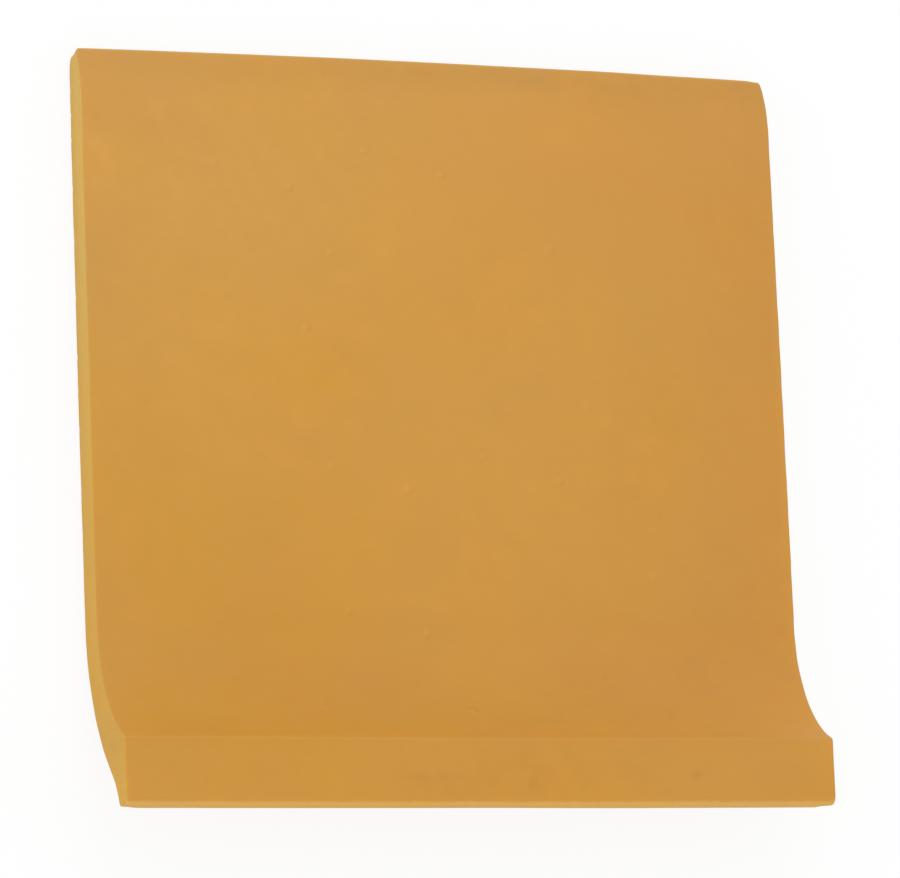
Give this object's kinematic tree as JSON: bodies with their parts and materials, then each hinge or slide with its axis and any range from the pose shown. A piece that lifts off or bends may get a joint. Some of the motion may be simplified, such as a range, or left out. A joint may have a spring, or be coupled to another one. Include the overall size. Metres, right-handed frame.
{
  "type": "clinker skirting tile",
  "caption": "Cove skirting tile of through-coloured yellow clinker: flat wall part with a rounded top, concave foot cove and an upright toe.",
  "frame": {"origin": "middle of the tile's width and height, on the plane of its flat back, which lies on the floor", "axes": "+X along the wall, +Y up the wall from the foot to the rounded top, +Z out of the face"},
  "size_m": [0.15, 0.1554, 0.024],
  "materials": {
    "clinker": "matte, unglazed"
  },
  "bodies": {
    "root": {"skirting_tile": "clinker"}
  },
  "joints": []
}
